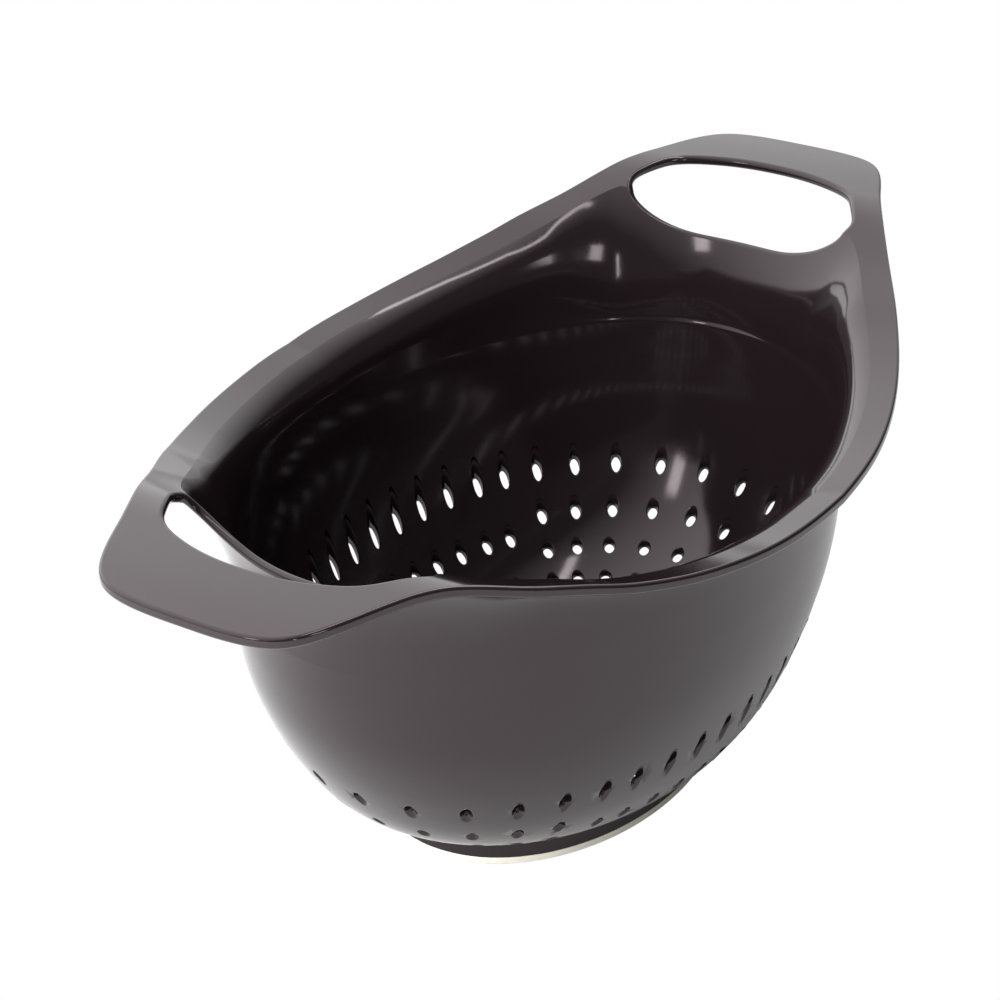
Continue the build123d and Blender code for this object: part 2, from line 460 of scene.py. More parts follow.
    def flare_height(self, x: np.ndarray, y: np.ndarray, inset: float) -> np.ndarray:
        """Height of the flare alone."""
        return self.flare(x, y, inset)[0]

    def face_height(self, x: np.ndarray, y: np.ndarray, inset: float) -> np.ndarray:
        """Height of flare and brim as one face.

        Args:
            x: place along the handles.
            y: place across them.
            inset: which face.
        Returns:
            The height over each place.
        """
        z, below = self.flare(x, y, inset)
        drop = 0.0 if inset > 0 else self.size.brim_thickness
        return np.where(below, z, self.brim(x, y) - drop)

    def low(self, x: np.ndarray, y: np.ndarray, inset: float) -> np.ndarray:
        """Height of the floor and lower wall, found by halving.

        Args:
            x: place along the handles.
            y: place across them.
            inset: which face.
        Returns:
            The height over each place.
        """
        lo = np.full(np.shape(x), WALL[0][0])
        hi = np.full(np.shape(x), SEARCH_TOP)
        for _ in range(HALVINGS):
            mid = (lo + hi) / 2
            _, reach, breadth = self.oval(mid, inset)
            out = np.hypot(x / reach, y / breadth) > 1
            lo, hi = np.where(out, mid, lo), np.where(out, hi, mid)
        z, _, _ = self.oval(lo, inset)
        return z

    def hole_places(self) -> np.ndarray:
        """Plan places of the drain holes, in the wall and then in the floor."""
        s = self.size
        places = []
        for angles, rows in ((END_COLUMNS, END_ROWS), (SIDE_COLUMNS, SIDE_ROWS)):
            for height, kept in rows:
                share = height / s.flare_start
                reach = s.bowl_half_length * float(between(WALL, share, 1))
                breadth = s.bowl_half_breadth * float(between(WALL, share, 2))
                for angle in angles:
                    middle = angle == SIDE_COLUMNS[-1]
                    turn = math.radians(angle) if middle else math.radians(angle * kept)
                    xs = (1,) if middle else (1, -1)
                    ys = (1,) if angle == END_COLUMNS[0] else (1, -1)
                    places += [(a * reach * math.cos(turn), b * breadth * math.sin(turn))
                               for a in xs for b in ys]
        for share, count in FLOOR_RINGS:
            places += [(share * s.foot_half_length * math.cos(2 * math.pi * i / count),
                        share * s.foot_half_breadth * math.sin(2 * math.pi * i / count))
                       for i in range(count)]
        return np.array(places)


class Shell:
    """Gathers patches with their own normals and joins them into one mesh."""

    def __init__(self) -> None:
        """Starts with no patch."""
        self.points: list[np.ndarray] = []
        self.faces: list[list[int]] = []
        self.normals: list[np.ndarray] = []
        self.count = 0

    def patch(self, points: np.ndarray, faces: Sequence[Sequence[int]], normals: np.ndarray) -> None:
        """Adds one patch.

        Args:
            points: its vertices in millimetres.
            faces: vertex numbers of each face.
            normals: one normal for each corner of each face, in order.
        """
        self.points.append(np.asarray(points, float))
        corner = 0
        for face in faces:
            n = normals[corner:corner + len(face)]
            corner += len(face)
            p = points[list(face)]
            turn = np.cross(p[1] - p[0], p[2] - p[0])
            keep = list(range(len(face)))
            if np.dot(turn, n.mean(0)) < 0:
                keep.reverse()
            self.faces.append([face[k] + self.count for k in keep])
            self.normals.append(n[keep])
        self.count += len(points)

    def grid(self, rows: Sequence[np.ndarray], normals: Sequence[np.ndarray]) -> None:
        """Adds closed rings of points, one row after another.

        Args:
            rows: the rings, each with as many points.
            normals: the normals of each ring.
        """
        n = len(rows[0])
        points, ns = np.vstack(rows), np.vstack(normals)
        faces = []
        for r in range(len(rows) - 1):
            for j in range(n):
                k = (j + 1) % n
                faces.append([r * n + j, r * n + k, (r + 1) * n + k, (r + 1) * n + j])
        self.patch(points, faces, ns[np.array(faces).ravel()])

    def mesh(self, name: str) -> bpy.types.Object:
        """Joins the patches where they share points.

        Args:
            name: the object's name.
        Returns:
            The finished object.
        """
        points = np.vstack(self.points)
        keys = np.round(points * JOINS_PER_MM).astype(np.int64)
        _, first, back = np.unique(keys, axis=0, return_index=True, return_inverse=True)
        back = back.ravel()
        faces, normals = [], []
        for face, n in zip(self.faces, self.normals):
            joined = [int(back[i]) for i in face]
            keep = [k for k in range(len(joined)) if joined[k] != joined[k - 1]]
            if len(keep) > 2:
                faces.append([joined[k] for k in keep])
                normals.append(n[keep])
        data = bpy.data.meshes.new(name)
        data.from_pydata((points[first] * MM).tolist(), [], faces)
        data.shade_smooth()
        data.normals_split_custom_set(unit(np.vstack(normals)).tolist())
        obj = bpy.data.objects.new(name, data)
        bpy.context.scene.collection.objects.link(obj)
        log.info("%s: %d vertices, %d faces", name, len(data.vertices), len(data.polygons))
        return obj


Number = Union[float, "Sock"]


class Sock:
    """A node's output that can be used in sums like a number."""

    def __init__(self, graph: "Graph", socket: bpy.types.NodeSocket) -> None:
        """Wraps one output socket of the graph's tree."""
        self.graph, self.socket = graph, socket

    def __add__(self, other: Number) -> "Sock":
        """Output plus a number."""
        return self.graph.math("ADD", self, other)

    def __sub__(self, other: Number) -> "Sock":
        """Output minus a number."""
        return self.graph.math("SUBTRACT", self, other)

    def __mul__(self, other: Number) -> "Sock":
        """Output times a number."""
        return self.graph.math("MULTIPLY", self, other)

    def __truediv__(self, other: Number) -> "Sock":
        """Output over a number."""
        return self.graph.math("DIVIDE", self, other)

    def __radd__(self, other: Number) -> "Sock":
        """Number plus the output."""
        return self.graph.math("ADD", other, self)

    def __rsub__(self, other: Number) -> "Sock":
        """Number minus the output."""
        return self.graph.math("SUBTRACT", other, self)

    def __rmul__(self, other: Number) -> "Sock":
        """Number times the output."""
        return self.graph.math("MULTIPLY", other, self)


class Graph:
    """A node tree, with one method that adds any node."""

    def __init__(self, tree: bpy.types.NodeTree) -> None:
        """Takes the tree that the nodes go into."""
        self.tree = tree

    def add(self, kind: str, settings: Optional[dict] = None, values: Optional[dict] = None,
            out: Union[int, str] = 0) -> Sock:
        """Adds a node.

        Args:
            kind: the node's type.
            settings: its own settings.
            values: for each input, a number, a vector or a linked output.
            out: which output to hand back.
        Returns:
            The chosen output.
        """
        node = self.tree.nodes.new(kind)
        for key, value in (settings or {}).items():
            setattr(node, key, value)
        for key, value in (values or {}).items():
            if isinstance(value, Sock):
                self.tree.links.new(value.socket, node.inputs[key])
            else:
                node.inputs[key].default_value = value
        return Sock(self, node.outputs[out])

    def math(self, operation: str, first: Number, second: Number = 0.0) -> Sock:
        """Adds one Math node."""
        return self.add("ShaderNodeMath", {"operation": operation}, {0: first, 1: second})

    def link(self, source: Sock, node: bpy.types.Node, name: str) -> None:
        """Links an output to a node's named input."""
        self.tree.links.new(source.socket, node.inputs[name])


class Finish(Enum):
    """Named finishes."""
    BOWL = "dark_moulded_plastic"
    RING = "cream_elastomer"
    FLOOR = "pale_floor"


@dataclass(frozen=True)
class Plastic:
    """Look of a moulded material; scales are in waves per metre."""
    colour: tuple[float, float, float]
    roughness: float
    vary: float
    grain: float
    tint: tuple[float, float, float] = (1.0, 1.0, 1.0)
    cloud_scale: float = 22.0
    cloud_detail: float = 3.0
    cloud_rough: float = 0.08
    fine_scale: float = 900.0
    fine_detail: float = 2.0
    fine_rough: float = 0.05
    grain_height: float = 0.00002

    def shade(self, factor: float) -> tuple[float, ...]:
        """The colour made darker or paler, with its alpha."""
        return tuple(min(1.0, c * factor) for c in self.colour) + (1.0,)

    def material(self, name: str) -> bpy.types.Material:
        """Makes the material with its fine variation and surface grain.

        Args:
            name: the material's name.
        Returns:
            The material.
        """
        mat = bpy.data.materials.new(name)
        mat.use_nodes = True
        tree = mat.node_tree
        shader = next(n for n in tree.nodes if n.type == "BSDF_PRINCIPLED")
        g = Graph(tree)
        place = g.add("ShaderNodeTexCoord", out="Object")

        def noise(scale: float, detail: float) -> Sock:
            """Soft noise in the piece's own place."""
            return g.add("ShaderNodeTexNoise", {}, {"Vector": place, "Scale": scale, "Detail": detail}, "Fac")

        cloud, fine = noise(self.cloud_scale, self.cloud_detail), noise(self.fine_scale, self.fine_detail)
        colour = g.add("ShaderNodeMix", {"data_type": "RGBA"},
                       {0: cloud, 6: self.shade(1 - self.vary), 7: self.shade(1 + self.vary)}, 2)
        rough = self.roughness + self.cloud_rough * (cloud - 0.5) + self.fine_rough * (fine - 0.5)
        bump = g.add("ShaderNodeBump", {},
                     {"Height": fine, "Strength": self.grain, "Distance": self.grain_height}, "Normal")
        for source, socket in ((colour, "Base Color"), (rough, "Roughness"), (bump, "Normal")):
            g.link(source, shader, socket)
        shader.inputs["Specular Tint"].default_value = self.tint + (1.0,)
        return mat


FINISHES = {
    Finish.BOWL: Plastic((0.0072, 0.0047, 0.0056), 0.11, 0.08, 0.08, tint=(1.0, 0.885, 0.93)),
    Finish.RING: Plastic((0.52, 0.50, 0.435), 0.55, 0.03, 0.4),
}


class Piece:
    """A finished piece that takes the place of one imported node."""
    name: str
    node: str
    slot: str
    finish: Finish

    def dress(self, obj: bpy.types.Object, material: bpy.types.Material) -> None:
        """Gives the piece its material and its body.

        Args:
            obj: the finished object.
            material: what it wears.
        """
        obj.data.materials.append(material)
        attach(obj, "root")
        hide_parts(self.node)
        log.info("%s wears %s", obj.name, self.finish.value)


class Moulding(Piece):
    """The one-piece bowl with its foot, brim, handles and drain holes."""
    name = "colander_bowl"
    node = "bowl"
    slot = "bowl"
    finish = Finish.BOWL

    def __init__(self, form: Form, steps: MeshSteps) -> None:
        """Takes the form to be meshed and how finely."""
        self.form, self.steps = form, steps
        self.shell = Shell()
        self.turns = np.linspace(0, 2 * math.pi, steps.columns, endpoint=False)
        self.holes = form.hole_places()

    def wall_loop(self, share: float, inset: float, turns: np.ndarray) -> np.ndarray:
        """One oval of the wall, as points."""
        z, a, b = self.form.oval(share, inset)
        return np.column_stack([a * np.cos(turns), b * np.sin(turns), np.full(len(turns), float(z))])

    def flare_loop(self, share: float, inset: float, turns: np.ndarray) -> np.ndarray:
        """One row of the flare's foot, from 0 at the wall to 1 at the split."""
        return self.form.flare_row(turns, share * self.split(turns), inset)

    def split(self, turn: np.ndarray) -> np.ndarray:
        """How far up the flare the closed rows go, clear of the openings."""
        low, high = self.steps.split_low, self.steps.split_high
        return low + (high - low) * ease(round_angle(turn), self.steps.split_angle, self.steps.split_span)

    def ring(self, at: np.ndarray, radius: float) -> np.ndarray:
        """Plan circle round one drain hole."""
        a = np.linspace(0, 2 * math.pi, self.steps.hole_sides, endpoint=False)
        return np.column_stack([at[0] + radius * np.cos(a), at[1] + radius * np.sin(a)])

    def plan_patch(self, loops: Sequence[np.ndarray], chains: Sequence[np.ndarray], extra: np.ndarray,
                   height: Surface, drop: Choice, up: float,
                   crease: Optional[tuple[Choice, Surface, Surface]] = None) -> None:
        """Adds a triangulated patch over the plan, with normals from its height.

        Args:
            loops: closed lines that the triangles keep to, as points.
            chains: open lines that they keep to.
            extra: further places in the plan.
            height: height of the patch.
            drop: picks the triangles to leave out, by their middles.
            up: 1 for an upper face, -1 for a lower one.
            crease: picks the triangles inside a crease, then the faces inside and outside it.
        """
        coords, edges, at = [], [], 0
        for lines, closed in ((loops, True), (chains, False)):
            for line in lines:
                n = len(line)
                edges += [(at + i, at + (i + 1) % n) for i in range(n if closed else n - 1)]
                coords.append(line)
                at += n
        coords.append(np.column_stack([extra, height(extra[:, 0], extra[:, 1])]))
        given = np.vstack(coords)
        inside_only = 1
        result = delaunay_2d_cdt([Vector(p) for p in given[:, :2].tolist()], edges, [],
                                 inside_only, self.steps.join_gap)
        origin = np.array([ids[0] if ids else -1 for ids in result[3]])
        made = np.array([tuple(p) for p in result[0]])
        points = np.column_stack([made, np.zeros(len(made))])
        known = origin >= 0
        points[known] = given[origin[known]]
        if not known.all():
            log.info("triangulation made %d new points", int((~known).sum()))
            points[~known, 2] = height(points[~known, 0], points[~known, 1])
        faces = np.array(result[2])
        faces = faces[~drop(points[faces].mean(1))]
        if crease is None:
            normals = plan_normals(height, points[:, 0], points[:, 1], up)[faces]
        else:
            inside, inner, outer = crease
            first, second = (plan_normals(face, points[:, 0], points[:, 1], up)[faces]
                             for face in (inner, outer))
            normals = np.where(inside(points[faces].mean(1))[:, None, None], first, second)
        self.shell.patch(points, faces.tolist(), normals.reshape(-1, 3))

    def lower(self, inset: float) -> None:
        """Floor and lower wall with the mouths of the drain holes.

        Args:
            inset: which face.
        """
        s, steps = self.form.size, self.steps
        radius = s.hole_radius + (s.hole_mouth if inset > 0 else s.hole_exit)
        height = partial(self.form.low, inset=inset)
        edge = self.wall_loop(steps.low_share, inset, self.turns)
        a, b = edge[:, 0].max(), edge[:, 1].max()
        extra = [np.zeros((1, 2))]
        count = int(a / steps.plan_step)
        for i in range(1, count):
            f = i / count
            n = max(steps.fewest_round, int(2 * math.pi * f * (a + b) / 2 / steps.plan_step))
            t = np.linspace(0, 2 * math.pi, n, endpoint=False) + i
            extra.append(np.column_stack([f * a * np.cos(t), f * b * np.sin(t)]))
        extra = np.vstack(extra)
        rings = [self.ring(h, radius) for h in self.holes]
        loops = [edge] + [np.column_stack([r, height(r[:, 0], r[:, 1])]) for r in rings]
        if inset == 0:
            loops += [self.skirt_loop(thick) for thick in (0.0, s.foot_wall)]
        extra = extra[apart(extra, np.vstack(loops), steps.low_gap)]
        extra = extra[apart(extra, self.holes, radius + steps.hole_gap)]

        def within(middle: np.ndarray, thick: float) -> np.ndarray:
            """True inside one outline of the foot skirt."""
            return ((middle[:, 0] / (s.foot_half_length - thick)) ** 2
                    + (middle[:, 1] / (s.foot_half_breadth - thick)) ** 2) < 1

        def drop(middle: np.ndarray) -> np.ndarray:
            """True in the drain holes and under the foot skirt."""
            gone = ~apart(middle, self.holes, radius * steps.hole_share)
            if inset == 0:
                gone |= within(middle, 0.0) & ~within(middle, s.foot_wall)
            return gone

        self.plan_patch(loops, [], extra, height, drop, 1.0 if inset > 0 else -1.0)

    def skirt_loop(self, thick: float) -> np.ndarray:
        """Where the foot skirt's outer or inner face meets the underside of the bowl."""
        s = self.form.size
        x = (s.foot_half_length - thick) * np.cos(self.turns)
        y = (s.foot_half_breadth - thick) * np.sin(self.turns)
        return np.column_stack([x, y, self.form.low(x, y, 0.0)])

    def skirt(self) -> None:
        """The foot skirt, down to the soft ring, with both lower edges bevelled."""
        s = self.form.size
        out = unit(np.column_stack([s.foot_half_breadth * np.cos(self.turns),
                                    s.foot_half_length * np.sin(self.turns), np.zeros(len(self.turns))]))
        down = np.tile((0.0, 0.0, -1.0), (len(out), 1))
        outer, inner = self.skirt_loop(0.0), self.skirt_loop(s.foot_wall)

        def level(loop: np.ndarray, z: float) -> np.ndarray:
            """The loop moved to one height."""
            return np.column_stack([loop[:, :2], np.full(len(loop), z)])

        bevel = s.foot_bevel
        outer_low, inner_low = (level(loop, s.ring_height + bevel) for loop in (outer, inner))
        flat_out = level(outer - bevel * out, s.ring_height)
        flat_in = level(inner + bevel * out, s.ring_height)
        for rows, normals in (((outer, outer_low), (out, out)),
                              ((outer_low, flat_out), (out, out + down)),
                              ((flat_out, flat_in), (down, down)),
                              ((flat_in, inner_low), (down - out, -out)),
                              ((inner_low, inner), (-out, -out))):
            self.shell.grid(rows, normals)

    def wall(self, inset: float) -> None:
        """The upper wall and the foot of the flare, one closed row after another.

        Args:
            inset: which face.
        """
        steps = self.steps
        side = -1.0 if inset > 0 else 1.0
        places = [(self.wall_loop, v) for v in np.linspace(steps.low_share, 1.0, steps.wall_rows)]
        places += [(self.flare_loop, v) for v in np.linspace(0.0, 1.0, steps.flare_rows)]
        rows, normals = [], []
        e = steps.row_step
        for loop, v in places:
            here = loop(v, inset, self.turns)
            if v > e:
                lift = here - loop(v - e, inset, self.turns)
            else:
                lift = loop(v + e, inset, self.turns) - here
            sweep = loop(v, inset, self.turns + e) - loop(v, inset, self.turns - e)
            rows.append(here)
            normals.append(side * unit(np.cross(sweep, lift)))
        self.shell.grid(rows, normals)

    def crease_chains(self, inset: float, openings: Sequence[np.ndarray]) -> list[np.ndarray]:
        """The crease between flare and brim, in stretches that keep clear of the openings.

        Args:
            inset: which face.
            openings: edges of the handle openings on that face.
        Returns:
            The stretches, as points.
        """
        start, facing, reach, _, _, level = self.form.column(self.turns, inset)
        crease = np.column_stack([start + facing * reach[:, None], level])
        clear = apart(crease, np.vstack(openings), self.steps.crease_gap)
        for hole in openings:
            clear &= ~inside_loop(crease, hole)
        chains, run = [], []
        first = int(np.argmin(clear))
        for k in range(len(crease) + 1):
            i = (first + k) % len(crease)
            if clear[i] and k < len(crease):
                run.append(crease[i])
            elif run:
                chains.append(np.array(run))
                run = []
        return chains

    def upper_places(self, inset: float, outline: np.ndarray) -> np.ndarray:
        """Plan places that fill the flare above its rows, and the brim.

        Args:
            inset: which face.
            outline: edge of the brim on that face.
        Returns:
            The places, those in the openings and near the edges included.
        """
        s, steps = self.form.size, self.steps
        turns = self.turns + math.pi / steps.columns
        places = []
        for u in steps.flare_marks:
            free = self.split(turns) < u - steps.mark_margin
            places.append(self.form.flare_row(turns, u, inset)[free][:, :2])
        gx, gy = np.meshgrid(np.arange(-s.half_length, s.half_length, steps.plan_step),
                             np.arange(-s.half_breadth, s.half_breadth, steps.plan_step))
        gx[::2] += steps.plan_step / 2
        grid = np.column_stack([gx.ravel(), gy.ravel()])
        grid = grid[inside_loop(grid, outline)]
        turn, out = self.form.flare_place(grid[:, 0], grid[:, 1], inset)
        reach = self.form.column(turn, inset)[2]
        places.append(grid[out > reach + steps.edge_gap])
        return np.vstack(places)

    def upper(self, inset: float, outline: np.ndarray, openings: Sequence[np.ndarray]) -> None:
        """Flare and brim between the wall, the outline and both openings.

        Args:
            inset: which face.
            outline: edge of the brim on that face.
            openings: edges of the handle openings on that face.
        """
        steps, form = self.steps, self.form
        inner = self.flare_loop(1.0, inset, self.turns)
        chains = self.crease_chains(inset, openings)
        extra = self.upper_places(inset, outline)
        for hole in openings:
            extra = extra[~inside_loop(extra, hole)]
        extra = extra[apart(extra, np.vstack([outline] + list(openings)), steps.edge_gap)]
        near = np.vstack([inner] + chains)
        extra = extra[apart(extra, near, steps.crease_gap) & ~inside_loop(extra, inner)]

        def drop(middle: np.ndarray) -> np.ndarray:
            """True outside the outline, over the bowl and in the openings."""
            gone = ~inside_loop(middle, outline) | inside_loop(middle, inner)
            for hole in openings:
                gone |= inside_loop(middle, hole)
            return gone

        def below_crease(middle: np.ndarray) -> np.ndarray:
            """True on the flare's side of the crease."""
            return form.flare(middle[:, 0], middle[:, 1], inset)[1]

        self.plan_patch([inner, outline] + list(openings), chains, extra,
                        partial(form.face_height, inset=inset), drop, 1.0 if inset > 0 else -1.0,
                        (below_crease, partial(form.flare_height, inset=inset), form.brim))

    def outline_edge(self) -> tuple[np.ndarray, np.ndarray]:
        """The rounded edge of the brim.

        Returns:
            Its loops on the upper and the lower face.
        """
        s, steps, form = self.form.size, self.steps, self.form
        loop = closed_curve(form.outline_points, steps.outline)
        out = outward(loop)
        ring = loop - out * s.edge_round
        top = form.face_height(ring[:, 0], ring[:, 1], s.wall)
        low = form.face_height(ring[:, 0], ring[:, 1], 0.0)
        angles = np.linspace(0, math.pi / 2, steps.arc_rows)
        rows, normals = [], []
        for order, level, sign in ((angles, top, 1.0), (angles[::-1], low, -1.0)):
            for angle in order:
                plan = loop - out * s.edge_round * (1 - math.sin(angle))
                z = level - sign * s.edge_round * (1 - math.cos(angle))
                rows.append(np.column_stack([plan, z]))
                normals.append(np.column_stack([out * math.sin(angle),
                                                np.full(len(out), sign * math.cos(angle))]))
        normals[0] = plan_normals(form.brim, ring[:, 0], ring[:, 1], 1.0)
        normals[-1] = plan_normals(form.brim, ring[:, 0], ring[:, 1], -1.0)
        self.shell.grid(rows, normals)
        return rows[0], rows[-1]

    def rise(self, ring: np.ndarray, into: np.ndarray, inset: float) -> np.ndarray:
        """How steeply a face climbs towards an opening, evened out round it.

        Args:
            ring: plan loop round the opening.
            into: plan directions away from the opening.
            inset: which face.
        Returns:
            The slope at each point of the loop.
        """
        e = self.steps.rise_step
        near, far = (self.form.face_height(ring[:, 0] + d * into[:, 0], ring[:, 1] + d * into[:, 1], inset)
                     for d in (-e, e))
        return smooth_round((near - far) / (2 * e), self.steps.rise_spread)

    def opening_edge(self, side: int) -> tuple[np.ndarray, np.ndarray]:
        """The rounded edge of one handle opening, lip included.

        Args:
            side: 1 for the opening at +X, -1 for the other.
        Returns:
            Its loops on the upper and the lower face.
        """
        s, steps, form = self.form.size, self.steps, self.form
        loop = closed_curve([(side * x, side * y) for x, y in form.opening_points], steps.opening)
        into = outward(loop)
        climb = self.rise(loop + into * s.edge_back, into, s.wall)
        lean = climb / np.hypot(1, climb)
        thick = s.brim_thickness + (s.wall - s.brim_thickness) * np.clip(lean, 0, 1)
        ends, aheads = [], []
        for sign, inset in ((1, s.wall), (-1, 0.0)):
            ring = loop + into * (s.nose_share * thick + sign * thick * lean / 2)[:, None]
            ends.append(np.column_stack([ring, form.face_height(ring[:, 0], ring[:, 1], inset)]))
            aheads.append(unit(np.column_stack([-into, self.rise(ring, into, inset)])))
        top, low = ends
        pull = (s.pull_share * np.linalg.norm(top - low, axis=1))[:, None]
        p1, p2 = top + pull * aheads[0], low + pull * aheads[1]
        rows, normals = [], []
        for u in np.linspace(0, 1, 2 * steps.arc_rows + 1):
            point = ((1 - u) ** 3 * top + 3 * u * (1 - u) ** 2 * p1
                     + 3 * u * u * (1 - u) * p2 + u ** 3 * low)
            going = (3 * (1 - u) ** 2 * (p1 - top) + 6 * u * (1 - u) * (p2 - p1) + 3 * u * u * (low - p2))
            along = np.roll(point, -1, 0) - np.roll(point, 1, 0)
            rows.append(point)
            normals.append(unit(np.cross(going, along)))
        facing = np.mean(np.sum(normals[steps.arc_rows][:, :2] * -into, axis=1))
        sign = 1.0 if facing > 0 else -1.0
        self.shell.grid(rows, [sign * n for n in normals])
        return rows[0], rows[-1]

    def build(self, bores: "Bores") -> bpy.types.Object:
        """Makes all the patches and joins them.

        Args:
            bores: maker of the walls of the drain holes.
        Returns:
            The finished object.
        """
        s = self.form.size
        for inset in (s.wall, 0.0):
            self.lower(inset)
            self.wall(inset)
        self.skirt()
        edge_top, edge_low = self.outline_edge()
        sides = [self.opening_edge(side) for side in (1, -1)]
        self.upper(s.wall, edge_top, [pair[0] for pair in sides])
        self.upper(0.0, edge_low, [pair[1] for pair in sides])
        bores.add_to(self.shell, self)
        return self.shell.mesh(self.name)


class Bores:
    """Walls of the drain holes, set out by a Geometry Nodes tree."""

    rows = 6
    slope_step = 1.0
    snap = 0.16

    def __init__(self, size: BowlSizes, steps: MeshSteps, material: bpy.types.Material) -> None:
        """Takes the sizes of the holes and what their walls wear."""
        self.size, self.steps, self.material = size, steps, material

    def tree(self) -> bpy.types.NodeTree:
        """One rounded bore at each point, fitted between both faces of the wall."""
        group = bpy.data.node_groups.new("drain_bores", "GeometryNodeTree")
        face = group.interface
        face.new_socket("Geometry", in_out="INPUT", socket_type="NodeSocketGeometry")
        for name in ("Radius", "Mouth", "Exit"):
            face.new_socket(name, in_out="INPUT", socket_type="NodeSocketFloat")
        face.new_socket("Sides", in_out="INPUT", socket_type="NodeSocketInt")
        face.new_socket("Material", in_out="INPUT", socket_type="NodeSocketMaterial")
        face.new_socket("Geometry", in_out="OUTPUT", socket_type="NodeSocketGeometry")
        g = Graph(group)
        source = group.nodes.new("NodeGroupInput")
        given = {o.name: Sock(g, o) for o in source.outputs if o.name}
        tube = g.add("GeometryNodeMeshCylinder", {"fill_type": "NONE"},
                     {"Vertices": given["Sides"], "Side Segments": self.rows - 1,
                      "Radius": 1.0, "Depth": 1.0}, "Mesh")
        spot = g.add("GeometryNodeInputPosition")
        tube = g.add("GeometryNodeStoreNamedAttribute", {"data_type": "FLOAT_VECTOR", "domain": "POINT"},
                     {"Geometry": tube, "Name": "local", "Value": spot})
        set_out = g.add("GeometryNodeInstanceOnPoints", {}, {"Points": given["Geometry"], "Instance": tube})
        real = g.add("GeometryNodeRealizeInstances", {}, {"Geometry": set_out})
        local = g.add("GeometryNodeInputNamedAttribute", {"data_type": "FLOAT_VECTOR"}, {"Name": "local"})
        parts = [g.add("ShaderNodeSeparateXYZ", {}, {0: local}, axis) for axis in "XYZ"]
        centre = g.add("ShaderNodeVectorMath", {"operation": "SUBTRACT"},
                       {0: g.add("GeometryNodeInputPosition"), 1: local})
        middle = [g.add("ShaderNodeSeparateXYZ", {}, {0: centre}, axis) for axis in "XY"]

        def read(name: str) -> Sock:
            """A value that the point carries."""
            return g.add("GeometryNodeInputNamedAttribute", {"data_type": "FLOAT"}, {"Name": name})

        def wave(kind: str, share: Sock) -> Sock:
            """Sine or cosine over a quarter turn."""
            return g.math(kind, share * (math.pi / 2))

        up = parts[2] + 0.5
        share = ((self.rows - 1) / 2 - 0.5) / (self.rows - 1)
        mouth = g.math("MAXIMUM", (up - (1 - share)) / share)
        leave = g.math("MAXIMUM", (share - up) / share)
        radius = (given["Radius"] + given["Mouth"] * (1 - wave("COSINE", mouth))
                  + given["Exit"] * (1 - wave("COSINE", leave)))
        dx, dy = radius * parts[0], radius * parts[1]
        top, low = (read(f"{name}_z") + read(f"{name}_gx") * dx + read(f"{name}_gy") * dy
                    for name in ("top", "low"))
        top = top - given["Mouth"] * (1 - wave("SINE", mouth))
        low = low + given["Exit"] * (1 - wave("SINE", leave))
        half = g.math("GREATER_THAN", up, 0.5)
        level = top * half + low * (1 - half)
        place = g.add("ShaderNodeCombineXYZ", {}, {"X": middle[0] + dx, "Y": middle[1] + dy, "Z": level})
        moved = g.add("GeometryNodeSetPosition", {}, {"Geometry": real, "Position": place})
        done = g.add("GeometryNodeSetMaterial", {}, {"Geometry": moved, "Material": given["Material"]})
        g.link(done, group.nodes.new("NodeGroupOutput"), "Geometry")
        return group

    def points(self, form: Form, holes: np.ndarray) -> bpy.types.Object:
        """Points in the plan that carry the height and slope of both faces.

        Args:
            form: the bowl's form.
            holes: plan places of the drain holes.
        Returns:
            The object that the tree works on.
        """
        data = bpy.data.meshes.new("bore_points")
        data.from_pydata([(x, y, 0.0) for x, y in holes], [], [])
        x, y = holes[:, 0], holes[:, 1]
        e = self.slope_step
        for name, inset in (("top", self.size.wall), ("low", 0.0)):
            values = {
                "z": form.low(x, y, inset),
                "gx": (form.low(x + e, y, inset) - form.low(x - e, y, inset)) / (2 * e),
                "gy": (form.low(x, y + e, inset) - form.low(x, y - e, inset)) / (2 * e),
            }
            for key, value in values.items():
                layer = data.attributes.new(f"{name}_{key}", "FLOAT", "POINT")
                layer.data.foreach_set("value", value.astype(np.float32))
        obj = bpy.data.objects.new("bore_points", data)
        bpy.context.scene.collection.objects.link(obj)
        return obj

    def evaluated(self, obj: bpy.types.Object) -> tuple[np.ndarray, np.ndarray, list[list[int]]]:
        """Runs the tree on the points and takes them away again.

        Args:
            obj: the points with their values.
        Returns:
            The bores' vertices, normals and faces.
        """
        s = self.size
        modifier = obj.modifiers.new("bores", "NODES")
        modifier.node_group = self.tree()
        wanted = {"Radius": s.hole_radius, "Mouth": s.hole_mouth, "Exit": s.hole_exit,
                  "Sides": self.steps.hole_sides, "Material": self.material}
        for item in modifier.node_group.interface.items_tree:
            if item.in_out == "INPUT" and item.name in wanted:
                modifier[item.identifier] = wanted[item.name]
        bpy.context.view_layer.update()
        deps = bpy.context.evaluated_depsgraph_get()
        plain = bpy.data.meshes.new_from_object(obj.evaluated_get(deps))
        points = np.zeros(len(plain.vertices) * 3)
        plain.vertices.foreach_get("co", points)
        normals = np.array([tuple(v.normal) for v in plain.vertices])
        faces = [list(p.vertices) for p in plain.polygons]
        bpy.data.objects.remove(obj)
        bpy.data.meshes.remove(plain)
        return points.reshape(-1, 3), normals, faces

